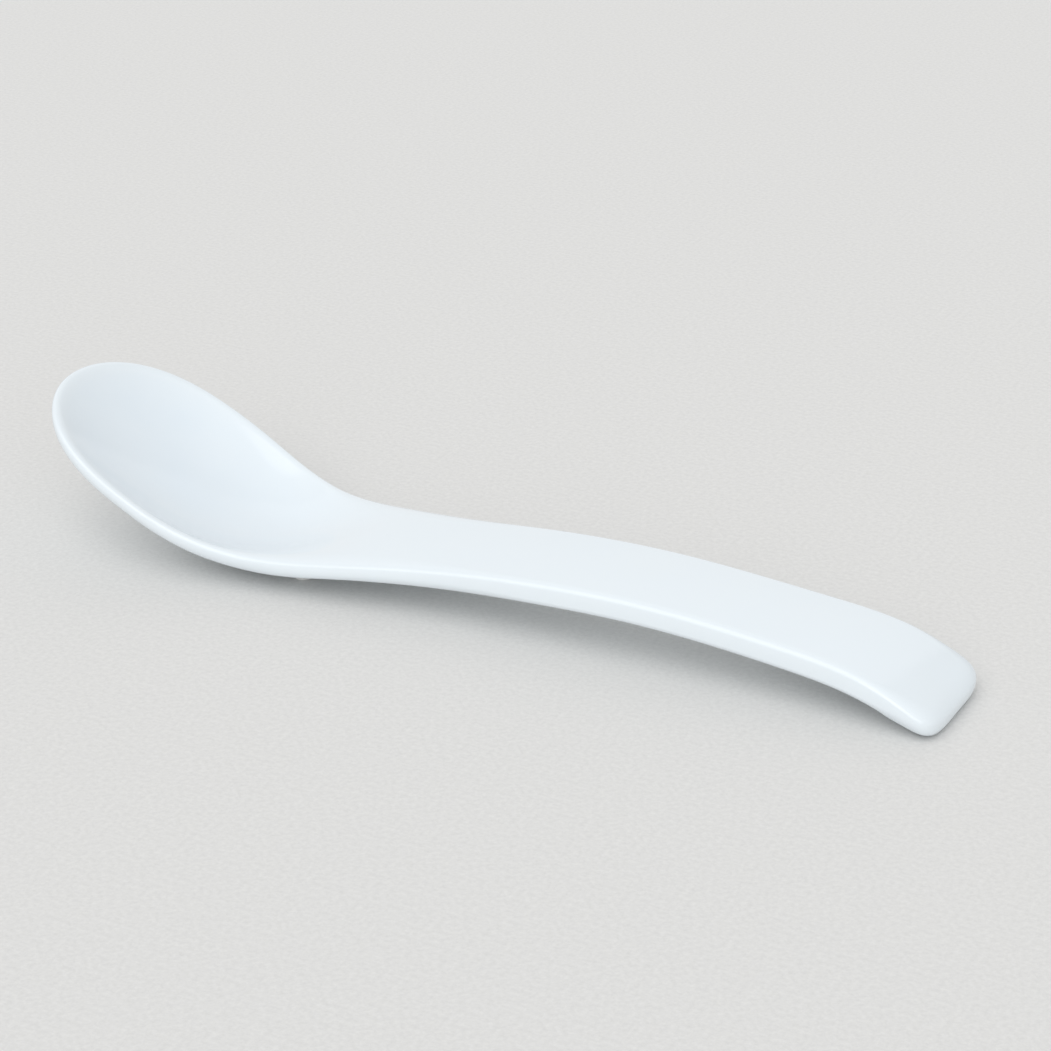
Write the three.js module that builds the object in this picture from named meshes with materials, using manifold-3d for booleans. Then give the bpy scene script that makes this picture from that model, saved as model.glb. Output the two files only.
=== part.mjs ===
// A glazed porcelain spoon: an upturned oval bowl, a neck and a broad arched handle with a square, rounded end.
// It stands on two small feet under the heel of the bowl and on a bare flat pad under the handle end.
// Millimetres. X runs from the bowl tip to the handle end, Y across, and Z up from the table.
import * as THREE from "three";
import { mergeVertices } from "three/addons/utils/BufferGeometryUtils.js";
import Module from "manifold-3d";

// The length, and places along it as shares of that length from the bowl tip.
const SPOON_LENGTH = 140;
const WIDEST_SHARE = 0.143;
const HOLLOW_END_SHARE = 0.407;
const LEVEL_BLEND_SHARES = [0.171, 0.357];
const ROLL_BLEND_SHARES = [0.214, 0.35, 0.571];
const EDGE_BLEND_SHARES = [0.329, 0.65];
const NECK_BLEND_SHARES = [0.257, 0.571];
const END_BLEND_SHARES = [0.914, 1];

// Half widths of the outline seen from above.
const BOWL_HALF_WIDTH = 16.6;
const HEEL_HALF_WIDTH = 13.35;
const NECK_HALF_WIDTH = 11.25;
const SHOULDER_HALF_WIDTH = 9.7;
const WAIST_HALF_WIDTH = 9.1;
const HANDLE_HALF_WIDTH = 8.75;
const END_HALF_WIDTH = 9.7;
const WIDTH_STATIONS = [
  [WIDEST_SHARE, BOWL_HALF_WIDTH],
  [0.271, HEEL_HALF_WIDTH],
  [0.357, NECK_HALF_WIDTH],
  [0.443, SHOULDER_HALF_WIDTH],
  [0.571, WAIST_HALF_WIDTH],
  [0.786, HANDLE_HALF_WIDTH],
  [1, END_HALF_WIDTH],
];
const TIP_FULLNESS = 2.65;
const END_ROUNDING_LENGTH = 6.7;
const END_SQUARENESS = 4.8;

// Heights of the rim, and of the ridge that carries it on along the handle.
const TIP_HEIGHT = 23.45;
const BOWL_RIM_HEIGHT = 12.8;
const HEEL_RIM_HEIGHT = 6.3;
const NECK_RIDGE_HEIGHT = 6.7;
const SHOULDER_RIDGE_HEIGHT = 9.15;
const CREST_RIDGE_HEIGHT = 10.3;
const FALL_RIDGE_HEIGHT = 8.95;
const TAIL_RIDGE_HEIGHT = 6.75;
const END_RIDGE_HEIGHT = 2.85;
const HEIGHT_STATIONS = [
  [0, TIP_HEIGHT],
  [WIDEST_SHARE, BOWL_RIM_HEIGHT],
  [0.264, HEEL_RIM_HEIGHT],
  [0.357, NECK_RIDGE_HEIGHT],
  [0.514, SHOULDER_RIDGE_HEIGHT],
  [0.686, CREST_RIDGE_HEIGHT],
  [0.843, FALL_RIDGE_HEIGHT],
  [0.936, TAIL_RIDGE_HEIGHT],
  [1, END_RIDGE_HEIGHT],
];

// The bowl's hollow, the handle's crown and the thickness in the middle.
const BOWL_DEPTH = 5.45;
const HANDLE_CROWN = 0.3;
const BOWL_WALL = 2.3;
const HANDLE_THICKNESS = 5.4;
const END_THICKNESS = 7.5;
const HOLLOW_FULLNESS = 2.3;
const BELLY_FULLNESS = 2.9;

// The bowl's lip: its thickness square to the wall, its roll inwards,
// and how much wider and lower its underside is rounded.
const LIP_THICKNESS = 1.6;
const LIP_ROLL = 0.4;
const LIP_UNDER_REACH = 0.3;
const LIP_UNDER_DROP = 0.5;

// The shoulder between lip and handle, rolled more broadly inwards and standing a little taller.
const SHOULDER_ROLL = 2.6;
const SHOULDER_FACE = 0.7;

// The handle's edge: a soft ridge on top, a straight side and a tight rounding below.
const RIDGE_REACH = 1.3;
const RIDGE_DROP = 0.8;
const SIDE_FACE = 1.7;
const SIDE_ROUNDING = 0.5;

// The edge round the handle end, softly rounded on top above a low face.
const END_TOP_REACH = 2.6;
const END_TOP_DROP = 1;
const END_FACE = 0.3;
const END_ROUNDING = 1.4;
const EDGE_ROUNDNESS = 2.2;

// The glaze, and the bare places that the spoon stands on.
const GLAZE_THICKNESS = 0.3;
const BOND_GAP = 0.03;
const HEEL_CLEARANCE = 0.8;
const TAIL_CLEARANCE = 0.1;
const HEEL_SHARES = [0.1, 0.5];
const TAIL_SHARES = [0.9, 1];
const FOOT_SHARE = 0.301;
const FOOT_OFFSET = 4.8;
const FOOT_RADIUS = 1.2;
const FOOT_EDGE = 0.28;
const FOOT_ROOT_SHARE = 0.6;
const BARE_MARGIN = 0.1;
const PAD_SHARE = 0.975;
const PAD_LENGTH = 2.6;
const PAD_WIDTH = 9;
const PAD_CORNER = 0.8;
const PAD_ROOT_SHARE = 0.2;

// How finely the surface is divided. The clay below the glaze has plainer edges.
const TIP_RIBS = 14;
const SIDE_RIBS = 34;
const END_RIBS = 10;
const FACE_STEPS = 5;
const GLAZE_EDGE_STEPS = { top: 10, under: 4 };
const CLAY_EDGE_STEPS = { top: 2, under: 2 };
const SLOPE_RUN = 0.05;

const kernel = await Module();
kernel.setup();

// Eased step from 0 at one share of the length to 1 at another, level at both ends.
function easedStep(shares, at) {
  const t = THREE.MathUtils.clamp((at / SPOON_LENGTH - shares[0]) / (shares[1] - shares[0]), 0, 1);
  return t * t * t * (t * (6 * t - 15) + 10);
}

// Cubic spline through [share, value] stations, free at its ends, or level at the first one.
function splineThrough(stations, levelStart) {
  const last = stations.length - 1;
  const place = stations.map((station) => station[0] * SPOON_LENGTH);
  const value = stations.map((station) => station[1]);
  const gap = (i) => place[i + 1] - place[i];
  const slope = (i) => (value[i + 1] - value[i]) / gap(i);
  const factor = [levelStart ? -0.5 : 0];
  const rest = [levelStart ? (3 * slope(0)) / gap(0) : 0];
  for (let i = 1; i < last; i++) {
    const pivot = 2 * (gap(i - 1) + gap(i)) + gap(i - 1) * factor[i - 1];
    factor[i] = -gap(i) / pivot;
    rest[i] = (6 * (slope(i) - slope(i - 1)) - gap(i - 1) * rest[i - 1]) / pivot;
  }
  const bend = new Array(last + 1).fill(0);
  for (let i = last - 1; i >= 0; i--) bend[i] = rest[i] + factor[i] * bend[i + 1];
  return (at) => {
    let i = 0;
    while (i < last - 1 && at > place[i + 1]) i++;
    const before = at - place[i];
    const after = place[i + 1] - at;
    const cubic = (bend[i] * after ** 3 + bend[i + 1] * before ** 3) / (6 * gap(i));
    const fromLeft = (value[i] / gap(i) - (bend[i] * gap(i)) / 6) * after;
    const fromRight = (value[i + 1] / gap(i) - (bend[i + 1] * gap(i)) / 6) * before;
    return cubic + fromLeft + fromRight;
  };
}

const along = (share) => share * SPOON_LENGTH;
const widestAt = along(WIDEST_SHARE);
const endPoleAt = SPOON_LENGTH - END_ROUNDING_LENGTH;

const halfWidthAt = splineThrough(WIDTH_STATIONS, true);
const ridgeHeightAt = splineThrough(HEIGHT_STATIONS, false);

// A size that changes from the bowl to the handle, and again to the handle end.
function blended(at, shares, bowl, handle, end) {
  const body = bowl + (handle - bowl) * easedStep(shares, at);
  return body + (end - body) * easedStep(END_BLEND_SHARES, at);
}

// How far the hollow lies below the rim in the middle, and how far the handle's crown rises above the ridge.
const neckStep = (at) => easedStep([WIDEST_SHARE, HOLLOW_END_SHARE], at);
const hollowAt = (at) => BOWL_DEPTH * (1 - neckStep(at));
const crownAt = (at) => HANDLE_CROWN * neckStep(at);

// Height of the upper face and of the underside along the middle line.
// The underside runs on level below the handle end.
const middleTop = (at) => ridgeHeightAt(at) - hollowAt(at) + crownAt(at);
const thicknessAt = (at) => blended(at, NECK_BLEND_SHARES, BOWL_WALL, HANDLE_THICKNESS, END_THICKNESS);
const undersideAt = (at) => middleTop(at) - thicknessAt(at);
const middleBottom = (at) => undersideAt(Math.min(at, endPoleAt));

// Ribs of half the outline, from the tip to the middle of the end.
// Each runs from its foot on the middle line out to the edge, and pole counts the feet.
function halfRibs() {
  const ribs = [];
  for (let i = 0; i < TIP_RIBS; i++) {
    const angle = (i / TIP_RIBS) * (Math.PI / 2);
    const at = widestAt * (1 - Math.cos(angle));
    const half = BOWL_HALF_WIDTH * Math.sqrt(1 - Math.cos(angle) ** TIP_FULLNESS);
    ribs.push({ at, half, foot: widestAt, pole: 0 });
  }
  for (let i = 0; i < SIDE_RIBS; i++) {
    const at = widestAt + ((endPoleAt - widestAt) * i) / SIDE_RIBS;
    ribs.push({ at, half: halfWidthAt(at), foot: at, pole: i });
  }
  for (let i = 0; i <= END_RIBS; i++) {
    const angle = (i / END_RIBS) * (Math.PI / 2);
    const across = i < END_RIBS ? Math.cos(angle) : 0;
    const out = Math.sin(angle);
    const reach = (across ** END_SQUARENESS + out ** END_SQUARENESS) ** (-1 / END_SQUARENESS);
    const at = endPoleAt + END_ROUNDING_LENGTH * reach * out;
    ribs.push({ at, half: halfWidthAt(at) * reach * across, foot: endPoleAt, pole: SIDE_RIBS });
  }
  return ribs;
}

// Sizes of the rounded edge at a place. The lip is cut taller where the bowl's wall is steep.
function edgeAt(at, slope) {
  const stretch = Math.hypot(1, slope);
  const lean = slope / stretch;
  const lip = LIP_THICKNESS / 2;
  const mixed = (rim, side, end) => blended(at, EDGE_BLEND_SHARES, rim, side, end);
  const [rollStart, rollPeak, rollEnd] = ROLL_BLEND_SHARES;
  const shoulder = easedStep([rollStart, rollPeak], at) * (1 - easedStep([rollPeak, rollEnd], at));
  return {
    topReach: mixed(lip * (1 + lean) + LIP_ROLL, RIDGE_REACH, END_TOP_REACH) + SHOULDER_ROLL * shoulder,
    topDrop: mixed(lip * (1 + lean) * stretch, RIDGE_DROP, END_TOP_DROP),
    face: mixed(0, SIDE_FACE, END_FACE) + SHOULDER_FACE * shoulder,
    underReach: mixed(lip * (1 - lean) + LIP_UNDER_REACH, SIDE_ROUNDING, END_ROUNDING),
    underDrop: mixed(lip * (1 - lean) * stretch + LIP_UNDER_DROP, SIDE_ROUNDING, END_ROUNDING),
  };
}

// The section along one rib as [distance from the foot, height], from the upper middle to the lower middle.
function ribSection(rib, edgeSteps) {
  const { at, foot } = rib;
  const length = Math.hypot(at - foot, rib.half);
  const placeAt = (t) => foot + (at - foot) * t;
  const levelled = easedStep(LEVEL_BLEND_SHARES, at);
  const top = (r) => {
    const t = r / length;
    const rise = (1 - levelled) * t ** HOLLOW_FULLNESS + levelled * t * t * (2 - t * t);
    return middleTop(placeAt(t)) + hollowAt(at) * rise - crownAt(at) * t * t;
  };
  const slope = Math.max((top(length) - top(length - SLOPE_RUN)) / SLOPE_RUN, 0);
  const { topReach, topDrop, face, underReach, underDrop } = edgeAt(at, slope);
  const edgeHeight = ridgeHeightAt(at) - topDrop - face - underDrop;
  const bottom = (r) => {
    const t = r / length;
    return middleBottom(placeAt(t)) + (edgeHeight - middleBottom(at)) * t ** BELLY_FULLNESS;
  };
  const inward = (angle) => 1 - Math.sin(angle) ** (2 / EDGE_ROUNDNESS);
  const downward = (angle) => 1 - Math.max(Math.cos(angle), 0) ** (2 / EDGE_ROUNDNESS);
  const section = [];
  for (let i = 0; i < FACE_STEPS; i++) {
    const r = ((length - topReach) * i) / FACE_STEPS;
    section.push([r, top(r)]);
  }
  for (let i = 0; i < edgeSteps.top; i++) {
    const angle = (i / edgeSteps.top) * (Math.PI / 2);
    const r = length - topReach * inward(angle);
    section.push([r, top(r) - topDrop * downward(angle)]);
  }
  for (let i = edgeSteps.under; i > 0; i--) {
    const angle = (i / edgeSteps.under) * (Math.PI / 2);
    const r = length - underReach * inward(angle);
    section.push([r, bottom(r) + underDrop * downward(angle)]);
  }
  for (let i = FACE_STEPS; i >= 0; i--) {
    const r = ((length - underReach) * i) / FACE_STEPS;
    section.push([r, bottom(r)]);
  }
  return section;
}

// The whole outer surface as one closed mesh. The ribs go out along +Y to the end and come back along -Y.
function spoonSurface(edgeSteps) {
  const half = halfRibs();
  const last = half.length - 1;
  const loop = [
    ...half.map((rib) => ({ ...rib, side: 1 })),
    ...half.slice(1, last).reverse().map((rib) => ({ ...rib, side: -1 })),
  ];
  const rows = ribSection(half[0], edgeSteps).length;
  const positions = [];
  const numberOf = new Map();
  const corner = (i, row) => {
    const rib = loop[i % loop.length];
    const onMiddle = row === 0 || row === rows - 1;
    const key = onMiddle ? `pole ${rib.pole} ${row}` : `rib ${i % loop.length} ${row}`;
    if (!numberOf.has(key)) {
      const [r, height] = ribSection(rib, edgeSteps)[row];
      const length = Math.hypot(rib.at - rib.foot, rib.half);
      const at = rib.foot + ((rib.at - rib.foot) * r) / length;
      numberOf.set(key, positions.length / 3);
      positions.push(at - SPOON_LENGTH / 2, (rib.side * rib.half * r) / length, height);
    }
    return numberOf.get(key);
  };
  const faces = [];
  for (let i = 0; i < loop.length; i++) {
    for (let row = 0; row < rows - 1; row++) {
      const [a, b, c, d] = [corner(i, row), corner(i + 1, row), corner(i + 1, row + 1), corner(i, row + 1)];
      if (a !== b) faces.push(a, b, c);
      if (c !== d) faces.push(a, c, d);
    }
  }
  const surface = new THREE.BufferGeometry();
  surface.setAttribute("position", new THREE.Float32BufferAttribute(positions, 3));
  surface.setIndex(faces);
  return surface;
}

// Sets the surface down on the table: lifts and tilts it until heel and tail clear the table as stated.
function setDown(surface) {
  const points = surface.getAttribute("position");
  const lowest = ([fromShare, toShare]) => {
    let low = [0, Infinity];
    for (let i = 0; i < points.count; i++) {
      const at = points.getX(i) + SPOON_LENGTH / 2;
      const inside = at >= along(fromShare) && at <= along(toShare);
      if (inside && points.getZ(i) < low[1]) low = [at, points.getZ(i)];
    }
    return low;
  };
  const [heelAt, heelLow] = lowest(HEEL_SHARES);
  const [tailAt, tailLow] = lowest(TAIL_SHARES);
  const heelLift = HEEL_CLEARANCE - heelLow;
  const tailLift = TAIL_CLEARANCE - tailLow;
  const liftAt = (at) => heelLift + ((tailLift - heelLift) * (at - heelAt)) / (tailAt - heelAt);
  for (let i = 0; i < points.count; i++) {
    points.setZ(i, points.getZ(i) + liftAt(points.getX(i) + SPOON_LENGTH / 2));
  }
  surface.computeVertexNormals();
  return surface;
}

// The surface moved inwards by a depth, along its own normals.
function sunkBy(surface, depth) {
  const sunk = surface.clone();
  const points = sunk.getAttribute("position");
  const normals = surface.getAttribute("normal");
  const point = new THREE.Vector3();
  const normal = new THREE.Vector3();
  for (let i = 0; i < points.count; i++) {
    point.fromBufferAttribute(points, i);
    normal.fromBufferAttribute(normals, i);
    point.addScaledVector(normal, -depth);
    points.setXYZ(i, point.x, point.y, point.z);
  }
  return sunk;
}

// A closed geometry as a solid for cutting and joining, and a solid as a geometry again.
function solidFrom(geometry) {
  const bare = new THREE.BufferGeometry();
  bare.setAttribute("position", geometry.getAttribute("position").clone());
  if (geometry.index) bare.setIndex(geometry.index.clone());
  const joined = mergeVertices(bare, 1e-4);
  const mesh = new kernel.Mesh({
    numProp: 3,
    vertProperties: new Float32Array(joined.getAttribute("position").array),
    triVerts: new Uint32Array(joined.index.array),
  });
  return new kernel.Manifold(mesh);
}

function geometryFrom(solid) {
  const mesh = solid.getMesh();
  const geometry = new THREE.BufferGeometry();
  geometry.setAttribute("position", new THREE.BufferAttribute(mesh.vertProperties, 3));
  geometry.setIndex(new THREE.BufferAttribute(mesh.triVerts, 1));
  geometry.computeVertexNormals();
  return geometry;
}

// An upright post with a rounded lower edge, standing on the table and reaching up to a height.
function footPost(side, height) {
  const outline = [new THREE.Vector2(0, 0)];
  for (let i = 0; i <= 3; i++) {
    const angle = (i / 3) * (Math.PI / 2);
    const radius = FOOT_RADIUS - FOOT_EDGE + FOOT_EDGE * Math.sin(angle);
    outline.push(new THREE.Vector2(radius, FOOT_EDGE - FOOT_EDGE * Math.cos(angle)));
  }
  outline.push(new THREE.Vector2(FOOT_RADIUS, height));
  outline.push(new THREE.Vector2(0, height));
  const post = new THREE.LatheGeometry(outline, 24);
  post.rotateX(Math.PI / 2);
  post.translate(along(FOOT_SHARE) - SPOON_LENGTH / 2, side * FOOT_OFFSET, 0);
  return post;
}

// The hole that the glaze leaves round a foot, from below the table up to a height.
function footHole(side, height) {
  const hole = new THREE.CylinderGeometry(FOOT_RADIUS + BARE_MARGIN, FOOT_RADIUS + BARE_MARGIN, 2 * height, 24);
  hole.rotateX(Math.PI / 2);
  hole.translate(along(FOOT_SHARE) - SPOON_LENGTH / 2, side * FOOT_OFFSET, 0);
  return hole;
}

// A rounded rectangle under the handle end, grown by a margin, between two heights.
function padBlock(margin, bottom, top) {
  const x = PAD_LENGTH / 2 + margin;
  const y = PAD_WIDTH / 2 + margin;
  const corner = PAD_CORNER + margin;
  const outline = new THREE.Shape();
  outline.absarc(x - corner, y - corner, corner, 0, Math.PI / 2);
  outline.absarc(corner - x, y - corner, corner, Math.PI / 2, Math.PI);
  outline.absarc(corner - x, corner - y, corner, Math.PI, 1.5 * Math.PI);
  outline.absarc(x - corner, corner - y, corner, 1.5 * Math.PI, 2 * Math.PI);
  const raise = { depth: top - bottom, bevelEnabled: false, curveSegments: 5 };
  const block = new THREE.ExtrudeGeometry(outline, raise);
  block.translate(along(PAD_SHARE) - SPOON_LENGTH / 2, 0, bottom);
  return block;
}

const glazedSurface = setDown(spoonSurface(GLAZE_EDGE_STEPS));
const plainSurface = setDown(spoonSurface(CLAY_EDGE_STEPS));
const clayRoom = solidFrom(sunkBy(plainSurface, GLAZE_THICKNESS));
const footTop = middleBottom(along(FOOT_SHARE)) + FOOT_ROOT_SHARE * BOWL_WALL;
const padTop = PAD_ROOT_SHARE * END_THICKNESS;

// The fired clay, with its bare pad under the handle end.
const clay = solidFrom(sunkBy(plainSurface, GLAZE_THICKNESS + BOND_GAP));
const body = clay.add(solidFrom(padBlock(0, 0, padTop)));

// The glaze lies all over the clay and stops around the feet and the pad.
const glaze = solidFrom(glazedSurface)
  .subtract(clayRoom)
  .subtract(solidFrom(footHole(1, footTop)))
  .subtract(solidFrom(footHole(-1, footTop)))
  .subtract(solidFrom(padBlock(BARE_MARGIN, -padTop, padTop)));

// Each foot is pressed up against the clay under the heel.
const footSolid = (side) => solidFrom(footPost(side, footTop)).subtract(clayRoom);

const clayMaterial = new THREE.MeshStandardMaterial({ color: 0xece8e0, roughness: 0.85 });
const glazeMaterial = new THREE.MeshStandardMaterial({ color: 0xe9eef2, roughness: 0.12 });

function piece(name, solid, material) {
  const mesh = new THREE.Mesh(geometryFrom(solid), material);
  mesh.name = name;
  return mesh;
}

const spoon = new THREE.Group();
spoon.name = "porcelain_spoon";
spoon.add(
  piece("porcelain_body", body, clayMaterial),
  piece("glaze_coat", glaze, glazeMaterial),
  piece("foot_left", footSolid(1), clayMaterial),
  piece("foot_right", footSolid(-1), clayMaterial),
);

export default spoon;
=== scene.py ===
"""A glossy white porcelain spoon, dressed over its CAD frame. Metres, in the frame's own axes."""
import math

import bmesh
import bpy
import numpy as np
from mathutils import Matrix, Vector


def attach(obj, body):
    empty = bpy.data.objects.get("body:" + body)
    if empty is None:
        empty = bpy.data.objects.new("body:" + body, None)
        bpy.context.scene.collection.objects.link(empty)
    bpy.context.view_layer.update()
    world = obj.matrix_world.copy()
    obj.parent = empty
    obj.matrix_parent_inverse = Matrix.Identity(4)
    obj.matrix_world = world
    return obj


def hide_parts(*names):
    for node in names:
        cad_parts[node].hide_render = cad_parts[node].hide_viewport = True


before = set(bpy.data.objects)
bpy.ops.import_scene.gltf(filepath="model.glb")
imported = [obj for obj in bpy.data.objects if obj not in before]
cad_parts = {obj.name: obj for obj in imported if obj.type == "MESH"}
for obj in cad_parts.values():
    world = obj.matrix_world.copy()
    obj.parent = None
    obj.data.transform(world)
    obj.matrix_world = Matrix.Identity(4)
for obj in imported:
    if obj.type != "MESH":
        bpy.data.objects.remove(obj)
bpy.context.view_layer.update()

# The spoon's sizes in millimetres, the same as in the CAD source. Shares are places along the length.
LENGTH = 140.0

# The outline: half widths at stations along the length, between a round tip and a nearly square end.
WIDEST_SHARE = 0.143
BOWL_HALF_WIDTH = 16.6
WIDTH_STATIONS = (
    (WIDEST_SHARE, BOWL_HALF_WIDTH), (0.271, 13.35), (0.357, 11.25), (0.443, 9.7),
    (0.571, 9.1), (0.786, 8.75), (1.0, 9.7),
)
TIP_FULLNESS = 2.65
END_ROUNDING_LENGTH = 6.7
END_SQUARENESS = 4.8

# Heights of the ridge along the outline, before the spoon is set down.
HEIGHT_STATIONS = (
    (0.0, 23.45), (WIDEST_SHARE, 12.8), (0.264, 6.3), (0.357, 6.7), (0.514, 9.15),
    (0.686, 10.3), (0.843, 8.95), (0.936, 6.75), (1.0, 2.85),
)

# The bowl's hollow, which gives way to the handle's crown over the neck.
NECK_SHARES = (WIDEST_SHARE, 0.407)
LEVEL_SHARES = (0.171, 0.357)
BOWL_DEPTH = 5.45
HOLLOW_FULLNESS = 2.3
HANDLE_CROWN = 0.3

# The thickness along the middle line, and how full the underside is.
THICKNESS_SHARES = (0.257, 0.571)
END_SHARES = (0.914, 1.0)
BOWL_WALL = 2.3
HANDLE_THICKNESS = 5.4
END_THICKNESS = 7.5
BELLY_FULLNESS = 2.9

# The edge: a rolled lip round the bowl, a shoulder at the neck, a ridge and a side face along the handle.
EDGE_SHARES = (0.329, 0.65)
ROLL_SHARES = (0.214, 0.35, 0.571)
LIP_THICKNESS = 1.6
LIP_ROLL = 0.4
LIP_UNDER_REACH = 0.3
LIP_UNDER_DROP = 0.5
SHOULDER_ROLL = 2.6
SHOULDER_FACE = 0.7
RIDGE_REACH = 1.3
RIDGE_DROP = 0.8
SIDE_FACE = 1.7
SIDE_ROUNDING = 0.5
END_TOP_REACH = 2.6
END_TOP_DROP = 1.0
END_FACE = 0.3
END_ROUNDING = 1.4
EDGE_ROUNDNESS = 2.2

# How the spoon stands: where its heel and tail are looked for, and how far each clears the table.
HEEL_SHARES = (0.1, 0.5)
TAIL_SHARES = (0.9, 1.0)
# A hundredth less than in the CAD source: the finer ribs find a lower heel and would lift the tip above it.
HEEL_CLEARANCE = 0.79
TAIL_CLEARANCE = 0.1

# The two feet, the bare pad under the handle end, and the margin that the glaze leaves round them.
FOOT_SHARE = 0.301
FOOT_OFFSET = 4.8
FOOT_RADIUS = 1.2
FOOT_EDGE = 0.28
FOOT_ROOT = 0.5
FOOT_HOLE_SHARE = 0.6
PAD_SHARE = 0.975
PAD_SIZE = (2.6, 9.0)
PAD_CORNER = 0.8
PAD_ROOT_SHARE = 0.2
BARE_MARGIN = 0.1
# The forms that cut the bare places out of the glaze start below the table.
CUT_BOTTOM = -1.0

# What follows from these sizes. The ribs of the tip and of the handle end fan out from the first two places.
WIDEST_AT = WIDEST_SHARE * LENGTH
END_SPINE_AT = LENGTH - END_ROUNDING_LENGTH
FOOT_AT = FOOT_SHARE * LENGTH
PAD_AT = PAD_SHARE * LENGTH
EDGE_POWER = 2 / EDGE_ROUNDNESS

# How finely the surfaces are divided, and the run in millimetres over which the wall's slope is taken.
TIP_RIBS = 48
SIDE_RIBS = 150
END_RIBS = 44
FACE_STEPS = 26
TOP_EDGE_STEPS = 14
UNDER_EDGE_STEPS = 16
FOOT_SIDES = 48
FOOT_EDGE_STEPS = 8
HOLE_SIDES = 64
PAD_CORNER_STEPS = 10
SLOPE_RUN = 0.05

MM = 0.001

# The glaze: its own tint, those where it pools and where it is cloudy, its gloss and its faint ripple.
GLAZE_TINT = (0.79, 0.855, 0.9)
GLAZE_POOLED_TINT = (0.755, 0.83, 0.89)
GLAZE_CLOUD_TINT = (0.81, 0.865, 0.9)
GLAZE_CLOUD_SHARE = 0.35
GLAZE_CLOUD_SCALE = 90.0
GLAZE_ROUGHNESS = (0.09, 0.15)
GLAZE_ROUGHNESS_SCALE = 160.0
GLAZE_RIPPLE_SCALE = 420.0
GLAZE_RIPPLE_DETAIL = 2.0
GLAZE_RIPPLE_STRENGTH = 0.05
GLAZE_RIPPLE_DEPTH = 0.2 * MM
GLAZE_IOR = 1.52

# The bare clay and its grain.
CLAY_LIGHT_TINT = (0.84, 0.84, 0.83)
CLAY_DARK_TINT = (0.79, 0.79, 0.775)
CLAY_ROUGHNESS = (0.75, 0.9)
CLAY_GRAIN_SCALE = 2600.0
CLAY_GRAIN_DETAIL = 4.0
CLAY_GRAIN_STRENGTH = 0.35
CLAY_GRAIN_DEPTH = 0.1 * MM

# The paper on the floor and its fibre, and how far the floor reaches to each side in metres.
PAPER_LIGHT_TINT = (0.769, 0.768, 0.757)
PAPER_DARK_TINT = (0.681, 0.680, 0.671)
PAPER_ROUGHNESS = 0.9
PAPER_SPECULAR = 0.2
PAPER_FIBRE_SCALE = 1400.0
PAPER_FIBRE_DETAIL = 4.0
PAPER_FIBRE_ROUGHNESS = 0.7
FLOOR_REACH = 3.0

# Most noise values lie between these two.
NOISE_RANGE = (0.3, 0.7)

# The camera as worked out from the photograph, in millimetres, with its near limit in metres.
CAMERA_AT = (182.71, -331.4, 188.84)
CAMERA_AIM = (-8.1, 25.8, 0.0)
CAMERA_LENS = 102.76
CAMERA_FRAME_WIDTH = 36.0
CAMERA_NEAR_LIMIT = 0.01

# The light: an even white surround and three broad lamps, each given by its direction and strength.
SURROUND_COLOUR = (1.0, 1.0, 1.0, 1.0)
SURROUND = 0.607
LAMP_ANGLE = math.radians(60.0)
LAMPS = (
    ("front_lamp", (0.403, -0.766, 0.5), 0.876),
    ("upper_lamp", (-0.148, -0.478, 0.866), 0.814),
    ("rear_lamp", (-0.403, 0.766, 0.5), 0.276),
)


def eased_step(shares, at):
    """Step from 0 at one share of the length to 1 at another, level at both ends."""
    t = np.clip((at / LENGTH - shares[0]) / (shares[1] - shares[0]), 0, 1)
    return t * t * t * (t * (6 * t - 15) + 10)


def spline_through(stations, level_start=False):
    """Cubic spline through (share of the length, value) stations, free at its ends or level at the first."""
    place = np.array([share * LENGTH for share, _ in stations])
    value = np.array([station_value for _, station_value in stations])
    count = len(place)
    gap = np.diff(place)
    slope = np.diff(value) / gap
    matrix = np.eye(count)
    right = np.zeros(count)
    for i in range(1, count - 1):
        matrix[i, i - 1:i + 2] = gap[i - 1], 2 * (gap[i - 1] + gap[i]), gap[i]
        right[i] = 6 * (slope[i] - slope[i - 1])
    if level_start:
        matrix[0, :2] = 2 * gap[0], gap[0]
        right[0] = 6 * slope[0]
    bend = np.linalg.solve(matrix, right)

    def value_at(at):
        i = np.clip(np.searchsorted(place, at) - 1, 0, count - 2)
        after = place[i + 1] - at
        before = at - place[i]
        cubic = (bend[i] * after ** 3 + bend[i + 1] * before ** 3) / (6 * gap[i])
        left = (value[i] / gap[i] - bend[i] * gap[i] / 6) * after
        return cubic + left + (value[i + 1] / gap[i] - bend[i + 1] * gap[i] / 6) * before

    return value_at


half_width_at = spline_through(WIDTH_STATIONS, level_start=True)
ridge_height_at = spline_through(HEIGHT_STATIONS)


def blended(at, shares, bowl, handle, end):
    """A size that changes from the bowl to the handle, and again to the handle end."""
    body = bowl + (handle - bowl) * eased_step(shares, at)
    return body + (end - body) * eased_step(END_SHARES, at)


def hollow_at(at):
    return BOWL_DEPTH * (1 - eased_step(NECK_SHARES, at))


def crown_at(at):
    return HANDLE_CROWN * eased_step(NECK_SHARES, at)


def middle_top(at):
    return ridge_height_at(at) - hollow_at(at) + crown_at(at)


def middle_bottom(at):
    """Height of the underside along the middle line, which runs on level under the handle end."""
    at = np.minimum(at, END_SPINE_AT)
    return middle_top(at) - blended(at, THICKNESS_SHARES, BOWL_WALL, HANDLE_THICKNESS, END_THICKNESS)


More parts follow.
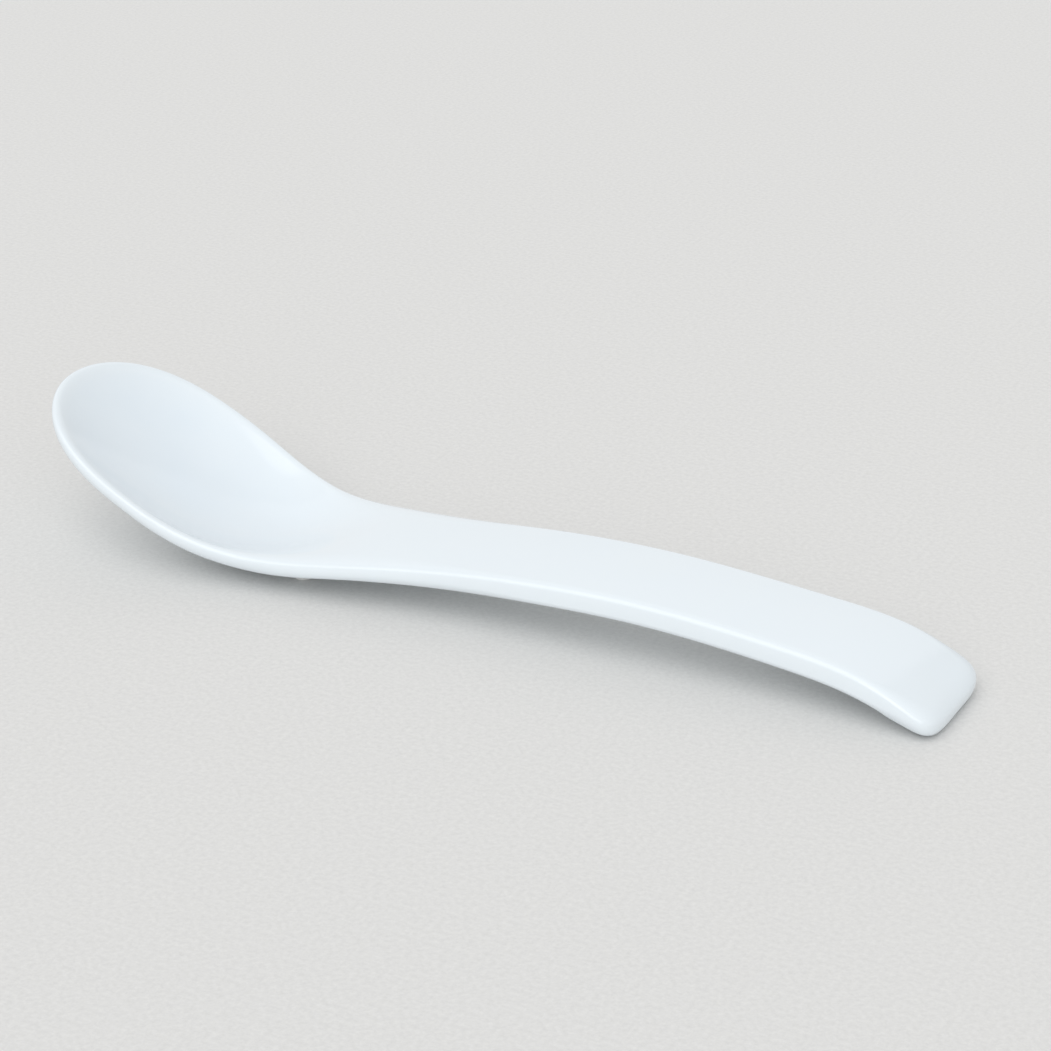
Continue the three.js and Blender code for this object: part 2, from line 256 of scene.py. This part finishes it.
def half_ribs():
    """Half the outline's ribs from the tip to the end.

    Each rib runs from a place on the middle line, its spine, to a place on the outline at a half width.
    Ribs that share a spine have the same spine number.
    """
    angle = np.arange(TIP_RIBS) / TIP_RIBS * math.pi / 2
    tip_at = WIDEST_AT * (1 - np.cos(angle))
    tip_half = BOWL_HALF_WIDTH * np.sqrt(1 - np.cos(angle) ** TIP_FULLNESS)
    side_at = WIDEST_AT + (END_SPINE_AT - WIDEST_AT) * np.arange(SIDE_RIBS) / SIDE_RIBS
    angle = np.arange(END_RIBS + 1) / END_RIBS * math.pi / 2
    across = np.cos(angle)
    across[-1] = 0
    out = np.sin(angle)
    reach = (across ** END_SQUARENESS + out ** END_SQUARENESS) ** (-1 / END_SQUARENESS)
    end_at = END_SPINE_AT + END_ROUNDING_LENGTH * reach * out
    end_half = half_width_at(end_at) * reach * across
    at = np.concatenate((tip_at, side_at, end_at))
    half = np.concatenate((tip_half, half_width_at(side_at), end_half))
    spine = np.concatenate((np.full(TIP_RIBS, WIDEST_AT), side_at, np.full(END_RIBS + 1, END_SPINE_AT)))
    numbers = (np.zeros(TIP_RIBS, int), np.arange(SIDE_RIBS), np.full(END_RIBS + 1, SIDE_RIBS))
    return at, half, spine, np.concatenate(numbers)


def edge_sizes(at, slope):
    """Reach and drop of the top edge, height of the side face, and reach and drop of the lower edge."""
    # The lip is as thick as stated square to the bowl's wall, so it is cut taller where the wall is steep.
    stretch = np.sqrt(1 + slope ** 2)
    lean = slope / stretch
    lip = LIP_THICKNESS / 2
    lip_top = lip * (1 + lean)
    lip_under = lip * (1 - lean)
    shoulder = eased_step(ROLL_SHARES[:2], at) * (1 - eased_step(ROLL_SHARES[1:], at))
    top_reach = blended(at, EDGE_SHARES, lip_top + LIP_ROLL, RIDGE_REACH, END_TOP_REACH)
    top_reach = top_reach + SHOULDER_ROLL * shoulder
    top_drop = blended(at, EDGE_SHARES, lip_top * stretch, RIDGE_DROP, END_TOP_DROP)
    side_face = blended(at, EDGE_SHARES, 0.0, SIDE_FACE, END_FACE) + SHOULDER_FACE * shoulder
    under_reach = blended(at, EDGE_SHARES, lip_under + LIP_UNDER_REACH, SIDE_ROUNDING, END_ROUNDING)
    under_drop = blended(at, EDGE_SHARES, lip_under * stretch + LIP_UNDER_DROP, SIDE_ROUNDING, END_ROUNDING)
    return top_reach, top_drop, side_face, under_reach, under_drop


def edge_shares(step, steps):
    """How far a step of a rounded edge lies off the outline and the face, as shares of reach and drop."""
    angle = step / steps * math.pi / 2
    off_outline = 1 - math.sin(angle) ** EDGE_POWER
    off_face = 1 - max(math.cos(angle), 0) ** EDGE_POWER
    return off_outline, off_face


def rib_sections(at, half, spine):
    """Distance from the spine and height along every rib, from the top's middle to the bottom's middle."""
    length = np.hypot(at - spine, half)
    levelled = eased_step(LEVEL_SHARES, at)

    def top(r):
        t = r / length
        rise = (1 - levelled) * t ** HOLLOW_FULLNESS + levelled * t * t * (2 - t * t)
        return middle_top(spine + (at - spine) * t) + hollow_at(at) * rise - crown_at(at) * t * t

    slope = np.maximum((top(length) - top(length - SLOPE_RUN)) / SLOPE_RUN, 0)
    top_reach, top_drop, side_face, under_reach, under_drop = edge_sizes(at, slope)
    edge_height = ridge_height_at(at) - top_drop - side_face - under_drop

    def bottom(r):
        t = r / length
        rise = (edge_height - middle_bottom(at)) * t ** BELLY_FULLNESS
        return middle_bottom(spine + (at - spine) * t) + rise

    distance = []
    height = []
    for i in range(FACE_STEPS):
        r = (length - top_reach) * i / FACE_STEPS
        distance.append(r)
        height.append(top(r))
    for i in range(TOP_EDGE_STEPS):
        off_outline, off_face = edge_shares(i, TOP_EDGE_STEPS)
        r = length - top_reach * off_outline
        distance.append(r)
        height.append(top(r) - top_drop * off_face)
    for i in range(UNDER_EDGE_STEPS, 0, -1):
        off_outline, off_face = edge_shares(i, UNDER_EDGE_STEPS)
        r = length - under_reach * off_outline
        distance.append(r)
        height.append(bottom(r) + under_drop * off_face)
    for i in range(FACE_STEPS, -1, -1):
        r = (length - under_reach) * i / FACE_STEPS
        distance.append(r)
        height.append(bottom(r))
    return np.array(distance).T, np.array(height).T, length


def set_down(at, height):
    """Lifts and tilts the heights until heel and tail clear the table as stated."""
    def lowest(shares):
        inside = (at >= shares[0] * LENGTH) & (at <= shares[1] * LENGTH)
        spot = np.argmin(np.where(inside, height, np.inf))
        return at.flat[spot], height.flat[spot]

    heel_at, heel_low = lowest(HEEL_SHARES)
    tail_at, tail_low = lowest(TAIL_SHARES)
    heel_lift = HEEL_CLEARANCE - heel_low
    tail_lift = TAIL_CLEARANCE - tail_low
    return height + heel_lift + (tail_lift - heel_lift) * (at - heel_at) / (tail_at - heel_at)


def spoon_mesh():
    """The glazed surface as one closed mesh, with the share of glaze that pools at each point."""
    at, half, spine, spine_number = half_ribs()
    distance, height, length = rib_sections(at, half, spine)
    share = distance / length[:, None]
    place = spine[:, None] + (at - spine)[:, None] * share
    across = half[:, None] * share
    height = set_down(place, height)
    sunk = np.clip((ridge_height_at(at)[:, None] - height) / BOWL_DEPTH, 0, 1)
    rows = height.shape[1]
    facing_up = np.arange(rows)[None, :] < FACE_STEPS
    pooled = np.where(facing_up, sunk, 0.0)

    last = len(at) - 1
    loop = [(i, 1) for i in range(last + 1)] + [(i, -1) for i in range(last - 1, 0, -1)]
    numbers = {}
    corners = []
    pooling = []

    def corner(step, row):
        i, side = loop[step % len(loop)]
        on_spine = row == 0 or row == rows - 1
        key = ("spine", spine_number[i], row) if on_spine else (i, side, row)
        if key not in numbers:
            numbers[key] = len(corners)
            corners.append((
                (place[i, row] - LENGTH / 2) * MM,
                side * across[i, row] * MM,
                height[i, row] * MM,
            ))
            pooling.append(pooled[i, row])
        return numbers[key]

    faces = []
    for step in range(len(loop)):
        for row in range(rows - 1):
            here = (corner(step, row), corner(step + 1, row))
            below = (corner(step + 1, row + 1), corner(step, row + 1))
            faces.append(tuple(dict.fromkeys(here + below)))
    mesh = bpy.data.meshes.new("glaze_skin")
    mesh.from_pydata(corners, [], faces)
    attribute = mesh.attributes.new("pooling", "FLOAT", "POINT")
    attribute.data.foreach_set("value", pooling)
    mesh.shade_smooth()
    return mesh


def placed(data, name):
    """A new object of the scene that shows a mesh, a camera or a lamp."""
    made = bpy.data.objects.new(name, data)
    bpy.context.scene.collection.objects.link(made)
    return made


def mesh_from(form, name):
    mesh = bpy.data.meshes.new(name)
    form.to_mesh(mesh)
    form.free()
    return mesh


def rounded_rectangle(size, corner, steps):
    """Corner points of a rounded rectangle about the origin."""
    points = []
    for quarter in range(4):
        turn = quarter * math.pi / 2
        centre_x = (size[0] / 2 - corner) * (1 if quarter in (0, 3) else -1)
        centre_y = (size[1] / 2 - corner) * (1 if quarter in (0, 1) else -1)
        for i in range(steps + 1):
            angle = turn + i / steps * math.pi / 2
            points.append((centre_x + corner * math.cos(angle), centre_y + corner * math.sin(angle)))
    return points


def circle(radius, sides):
    """Corner points of a circle about the origin."""
    turns = [i / sides * math.tau for i in range(sides)]
    return [(radius * math.cos(turn), radius * math.sin(turn)) for turn in turns]


def ring_of(form, outline, centre, height):
    """Adds the points of an outline to a form, about a centre at a height. Millimetres."""
    return [form.verts.new(((centre[0] + x) * MM, (centre[1] + y) * MM, height * MM)) for x, y in outline]


def close_rings(form, rings):
    """Adds the faces of a closed body to a form: between each two rings, and over the first and the last."""
    form.faces.new(reversed(rings[0]))
    for lower, upper in zip(rings, rings[1:]):
        for i in range(len(lower)):
            j = (i + 1) % len(lower)
            form.faces.new((lower[i], lower[j], upper[j], upper[i]))
    form.faces.new(rings[-1])


def add_prism(form, outline, centre, bottom, top):
    """Adds a closed upright prism over an outline to a form. Millimetres."""
    close_rings(form, [ring_of(form, outline, centre, height) for height in (bottom, top)])


def foot_centre(side):
    return FOOT_AT - LENGTH / 2, side * FOOT_OFFSET


def bare_places():
    """The places that the glaze leaves open: round both feet and round the pad under the handle end."""
    form = bmesh.new()
    hole = circle(FOOT_RADIUS + BARE_MARGIN, HOLE_SIDES)
    hole_top = middle_bottom(FOOT_AT) + FOOT_HOLE_SHARE * BOWL_WALL
    for side in (1, -1):
        add_prism(form, hole, foot_centre(side), CUT_BOTTOM, hole_top)
    grown = (PAD_SIZE[0] + 2 * BARE_MARGIN, PAD_SIZE[1] + 2 * BARE_MARGIN)
    pad = rounded_rectangle(grown, PAD_CORNER + BARE_MARGIN, PAD_CORNER_STEPS)
    add_prism(form, pad, (PAD_AT - LENGTH / 2, 0), CUT_BOTTOM, PAD_ROOT_SHARE * END_THICKNESS)
    return placed(mesh_from(form, "bare_places"), "bare_places")


def glaze_piece():
    """The glazed surface with the bare places cut out of it."""
    piece = placed(spoon_mesh(), "glaze_skin")
    cutter = bare_places()
    cut = piece.modifiers.new("bare", "BOOLEAN")
    cut.operation = "DIFFERENCE"
    cut.solver = "EXACT"
    cut.object = cutter
    depsgraph = bpy.context.evaluated_depsgraph_get()
    result = bpy.data.meshes.new_from_object(piece.evaluated_get(depsgraph))
    piece.modifiers.clear()
    piece.data = result
    result.name = "glaze_skin"
    bpy.data.objects.remove(cutter)
    return piece


def foot_piece(side, name):
    """A small pressed clay foot: a flat sole, a rounded edge and a straight shank up to the clay."""
    sole = FOOT_RADIUS - FOOT_EDGE
    profile = []
    for i in range(FOOT_EDGE_STEPS + 1):
        angle = i / FOOT_EDGE_STEPS * math.pi / 2
        profile.append((sole + FOOT_EDGE * math.sin(angle), FOOT_EDGE - FOOT_EDGE * math.cos(angle)))
    profile.append((FOOT_RADIUS, middle_bottom(FOOT_AT) + FOOT_ROOT))
    form = bmesh.new()
    rings = []
    for radius, height in profile:
        rings.append(ring_of(form, circle(radius, FOOT_SIDES), foot_centre(side), height))
    close_rings(form, rings)
    for face in form.faces:
        face.smooth = len(face.verts) == 4
    return placed(mesh_from(form, name), name)


def new_material(name):
    material = bpy.data.materials.new(name)
    material.use_nodes = True
    tree = material.node_tree
    shader = tree.nodes["Principled BSDF"]
    place = tree.nodes.new("ShaderNodeTexCoord").outputs["Object"]
    return material, tree, shader, place


def noise(tree, place, scale, detail=3.0, roughness=0.5):
    made = tree.nodes.new("ShaderNodeTexNoise")
    tree.links.new(place, made.inputs["Vector"])
    made.inputs["Scale"].default_value = scale
    made.inputs["Detail"].default_value = detail
    made.inputs["Roughness"].default_value = roughness
    return made.outputs["Fac"]


def spread(tree, value, low, high):
    """Maps a noise value to the range between low and high."""
    made = tree.nodes.new("ShaderNodeMapRange")
    tree.links.new(value, made.inputs["Value"])
    made.inputs["From Min"].default_value = NOISE_RANGE[0]
    made.inputs["From Max"].default_value = NOISE_RANGE[1]
    made.inputs["To Min"].default_value = low
    made.inputs["To Max"].default_value = high
    return made.outputs["Result"]


def mixed_colour(tree, share, first, second):
    """Mixes two colours, each given as a tuple or as a node's output."""
    made = tree.nodes.new("ShaderNodeMix")
    made.data_type = "RGBA"
    tree.links.new(share, made.inputs["Factor"])
    for socket, colour in ((made.inputs["A"], first), (made.inputs["B"], second)):
        if isinstance(colour, tuple):
            socket.default_value = (*colour, 1.0)
        else:
            tree.links.new(colour, socket)
    return made.outputs["Result"]


def add_bump(tree, shader, height, strength, depth):
    """Lets a noise value raise the surface by up to a depth in metres."""
    bump = tree.nodes.new("ShaderNodeBump")
    bump.inputs["Strength"].default_value = strength
    bump.inputs["Distance"].default_value = depth
    tree.links.new(height, bump.inputs["Height"])
    tree.links.new(bump.outputs["Normal"], shader.inputs["Normal"])


def glaze_material():
    """Opaque cool white glaze: slightly bluer where it pools, faintly uneven in tone, gloss and level."""
    material, tree, shader, place = new_material("white_glaze")
    pooling = tree.nodes.new("ShaderNodeAttribute")
    pooling.attribute_name = "pooling"
    tint = mixed_colour(tree, pooling.outputs["Fac"], GLAZE_TINT, GLAZE_POOLED_TINT)
    cloud = spread(tree, noise(tree, place, GLAZE_CLOUD_SCALE), 0.0, GLAZE_CLOUD_SHARE)
    tree.links.new(mixed_colour(tree, cloud, tint, GLAZE_CLOUD_TINT), shader.inputs["Base Color"])
    roughness = spread(tree, noise(tree, place, GLAZE_ROUGHNESS_SCALE), *GLAZE_ROUGHNESS)
    tree.links.new(roughness, shader.inputs["Roughness"])
    ripple = noise(tree, place, GLAZE_RIPPLE_SCALE, GLAZE_RIPPLE_DETAIL)
    add_bump(tree, shader, ripple, GLAZE_RIPPLE_STRENGTH, GLAZE_RIPPLE_DEPTH)
    shader.inputs["IOR"].default_value = GLAZE_IOR
    return material


def clay_material():
    """Bare fired porcelain: white with a trace of warmth, matt, with a fine grain."""
    material, tree, shader, place = new_material("bare_clay")
    grain = noise(tree, place, CLAY_GRAIN_SCALE, CLAY_GRAIN_DETAIL)
    colour = mixed_colour(tree, spread(tree, grain, 0.0, 1.0), CLAY_LIGHT_TINT, CLAY_DARK_TINT)
    tree.links.new(colour, shader.inputs["Base Color"])
    tree.links.new(spread(tree, grain, *CLAY_ROUGHNESS), shader.inputs["Roughness"])
    add_bump(tree, shader, grain, CLAY_GRAIN_STRENGTH, CLAY_GRAIN_DEPTH)
    return material


def floor_material():
    """Matt pale paper with a fine fibre."""
    material, tree, shader, place = new_material("pale_paper")
    fibre = noise(tree, place, PAPER_FIBRE_SCALE, PAPER_FIBRE_DETAIL, PAPER_FIBRE_ROUGHNESS)
    colour = mixed_colour(tree, spread(tree, fibre, 0.0, 1.0), PAPER_LIGHT_TINT, PAPER_DARK_TINT)
    tree.links.new(colour, shader.inputs["Base Color"])
    shader.inputs["Roughness"].default_value = PAPER_ROUGHNESS
    shader.inputs["Specular IOR Level"].default_value = PAPER_SPECULAR
    return material


def add_floor():
    form = bmesh.new()
    bmesh.ops.create_grid(form, x_segments=2, y_segments=2, size=FLOOR_REACH)
    floor = placed(mesh_from(form, "floor"), "floor")
    floor.data.materials.append(floor_material())


def aimed(thing, at):
    """Turns a camera or a lamp towards a place."""
    direction = Vector(at) - thing.location
    thing.rotation_euler = direction.to_track_quat("-Z", "Y").to_euler()


def add_camera():
    data = bpy.data.cameras.new("camera")
    data.lens = CAMERA_LENS
    data.sensor_width = CAMERA_FRAME_WIDTH
    data.clip_start = CAMERA_NEAR_LIMIT
    camera = placed(data, "camera")
    camera.location = Vector(CAMERA_AT) * MM
    aimed(camera, Vector(CAMERA_AIM) * MM)
    bpy.context.scene.camera = camera


def add_light():
    world = bpy.data.worlds.new("studio")
    bpy.context.scene.world = world
    world.use_nodes = True
    sky = world.node_tree.nodes["Background"]
    sky.inputs["Color"].default_value = SURROUND_COLOUR
    sky.inputs["Strength"].default_value = SURROUND
    for name, direction, strength in LAMPS:
        data = bpy.data.lights.new(name, "SUN")
        data.angle = LAMP_ANGLE
        data.energy = strength
        lamp = placed(data, name)
        lamp.location = direction
        aimed(lamp, (0.0, 0.0, 0.0))


glaze = glaze_piece()
glaze.data.materials.clear()
glaze.data.materials.append(glaze_material())
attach(glaze, "root")
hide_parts("glaze_coat")

clay = clay_material()
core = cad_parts["porcelain_body"]
core.data.materials.clear()
core.data.materials.append(clay)
for side, name in ((1, "foot_left"), (-1, "foot_right")):
    foot = foot_piece(side, name + "_clay")
    foot.data.materials.append(clay)
    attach(foot, "root")
    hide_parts(name)

add_floor()
add_camera()
add_light()
bpy.context.scene.view_settings.view_transform = "Standard"
